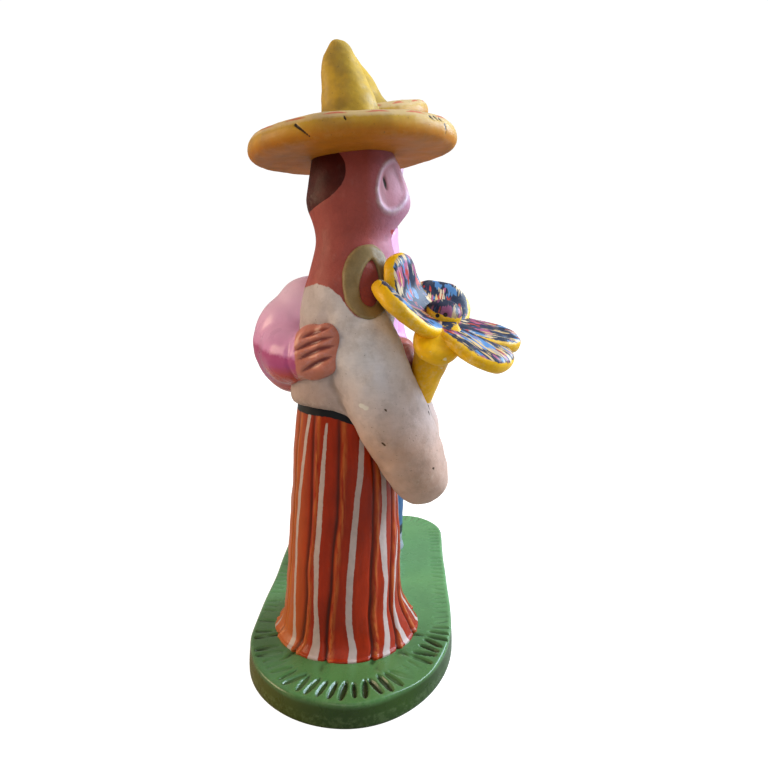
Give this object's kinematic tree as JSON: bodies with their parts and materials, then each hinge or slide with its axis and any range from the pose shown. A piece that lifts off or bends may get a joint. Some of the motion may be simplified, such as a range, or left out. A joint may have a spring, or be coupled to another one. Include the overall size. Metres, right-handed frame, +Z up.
{
  "type": "clay couple figurine",
  "caption": "Painted clay ornament of a couple under sombreros on a green slab, one with a pleated skirt and a big flower, the other with an arm round them.",
  "frame": {"origin": "centre of the slab's underside", "axes": "+Z up, X along the slab's long side with the skirted figure at -X, both figures face -Y"},
  "size_m": [0.1649, 0.1043, 0.2487],
  "materials": {
    "painted_clay": "satin brush-painted fired clay"
  },
  "bodies": {
    "root": {"couple_figurine": "painted_clay"}
  },
  "joints": []
}
